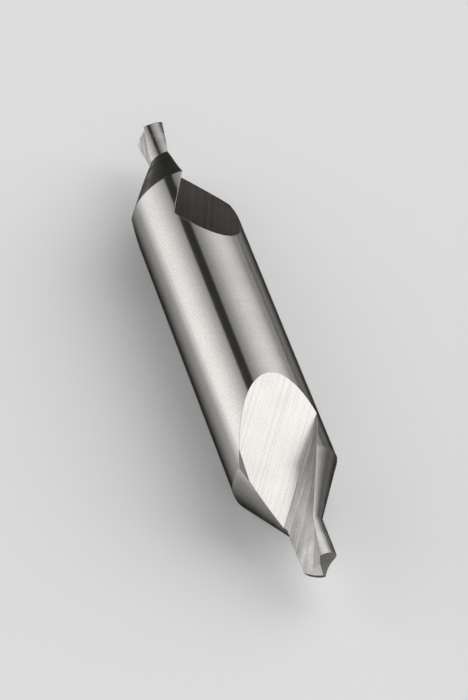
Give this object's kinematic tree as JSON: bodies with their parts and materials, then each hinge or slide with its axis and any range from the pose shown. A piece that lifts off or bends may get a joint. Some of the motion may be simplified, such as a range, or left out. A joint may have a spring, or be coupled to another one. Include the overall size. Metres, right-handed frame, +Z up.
{
  "type": "centre drill",
  "caption": "Double-ended centre drill: a plain round body whose ends carry twisted flutes, chip flats, a relieved countersink cone and a pilot with a split point.",
  "frame": {"origin": "middle of the body, on its axis", "axes": "+X along the axis towards the end that faces the camera in the picture, +Z up as the drill lies on its side"},
  "size_m": [0.056, 0.01, 0.01],
  "materials": {
    "tool_steel": "ground"
  },
  "bodies": {
    "root": {"centre_drill": "tool_steel"}
  },
  "joints": []
}
